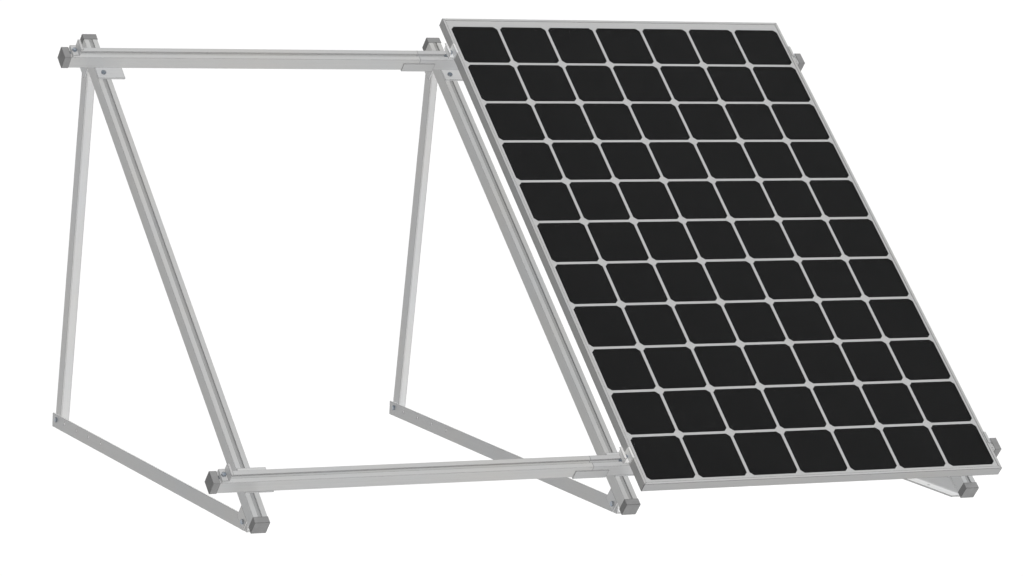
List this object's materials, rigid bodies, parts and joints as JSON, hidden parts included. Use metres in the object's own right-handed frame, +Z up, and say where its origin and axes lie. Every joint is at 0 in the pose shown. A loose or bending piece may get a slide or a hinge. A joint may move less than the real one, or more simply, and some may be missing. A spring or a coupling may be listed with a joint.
{
  "type": "tilted solar panel mounting frame",
  "caption": "Tilted aluminium frame of bolted triangles and slotted cross rails that carries solar panels, with a panel clamped in the right-hand bay and the left-hand bay free.",
  "frame": {"origin": "on the ground, under the middle of the overall box", "axes": "+X along the cross rails to the right seen from the low front, +Y from the low front to the high back, +Z up"},
  "size_m": [2.39, 1.584, 1.2157],
  "materials": {
    "rail_aluminium": "extruded, satin, lightly brushed along the rail",
    "angle_aluminium": "mill finish with drawn lines along the angle",
    "bracket_aluminium": "sawn and tumbled, satin",
    "splice_aluminium": "satin, a little darker than the rails",
    "clamp_aluminium": "extruded, bright satin",
    "cap_plastic": "moulded grey plastic, matte",
    "bolt_steel": "zinc plated with a blue tint",
    "panel_aluminium": "anodised silver",
    "clear_glass": "clear solar glass with a fine matte texture",
    "cell_black": "black silicon under glass",
    "backsheet_film": "light grey film",
    "box_plastic": "moulded black plastic"
  },
  "bodies": {
    "root": {"left_sloping_rail": "rail_aluminium", "left_rail_foot_cap": "cap_plastic", "left_rail_top_cap": "cap_plastic", "left_base_angle": "angle_aluminium", "left_rear_strut": "angle_aluminium", "left_foot_bracket": "bracket_aluminium", "left_top_bracket": "bracket_aluminium", "middle_sloping_rail": "rail_aluminium", "middle_rail_foot_cap": "cap_plastic", "middle_rail_top_cap": "cap_plastic", "middle_base_angle": "angle_aluminium", "middle_rear_strut": "angle_aluminium", "middle_foot_bracket": "bracket_aluminium", "middle_top_bracket": "bracket_aluminium", "right_sloping_rail": "rail_aluminium", "right_rail_foot_cap": "cap_plastic", "right_rail_top_cap": "cap_plastic", "right_base_angle": "angle_aluminium", "right_rear_strut": "angle_aluminium", "right_foot_bracket": "bracket_aluminium", "right_top_bracket": "bracket_aluminium", "lower_cross_rail_left": "rail_aluminium", "lower_cross_rail_right": "rail_aluminium", "lower_cross_cap_left": "cap_plastic", "lower_cross_cap_right": "cap_plastic", "lower_splice": "splice_aluminium", "lower_plate_left": "bracket_aluminium", "lower_plate_middle": "bracket_aluminium", "lower_plate_right": "bracket_aluminium", "lower_end_clamp_left": "clamp_aluminium", "lower_end_clamp_right": "clamp_aluminium", "lower_mid_clamp": "clamp_aluminium", "upper_cross_rail_left": "rail_aluminium", "upper_cross_rail_right": "rail_aluminium", "upper_cross_cap_left": "cap_plastic", "upper_cross_cap_right": "cap_plastic", "upper_splice": "splice_aluminium", "upper_plate_left": "bracket_aluminium", "upper_plate_middle": "bracket_aluminium", "upper_plate_right": "bracket_aluminium", "upper_end_clamp_left": "clamp_aluminium", "upper_end_clamp_right": "clamp_aluminium", "upper_mid_clamp": "clamp_aluminium", "slot_bolts": "bolt_steel", "splice_bolts": "bolt_steel", "clamp_bolts": "bolt_steel", "slot_nuts": "bolt_steel", "frame_bolts": "bolt_steel", "frame_nuts": "bolt_steel", "spacer_rings": "bracket_aluminium", "panel_frame_left": "panel_aluminium", "panel_frame_right": "panel_aluminium", "panel_frame_lower": "panel_aluminium", "panel_frame_upper": "panel_aluminium", "panel_glass": "clear_glass", "solar_cells": "cell_black", "panel_backsheet": "backsheet_film", "junction_box": "box_plastic"}
  },
  "joints": []
}
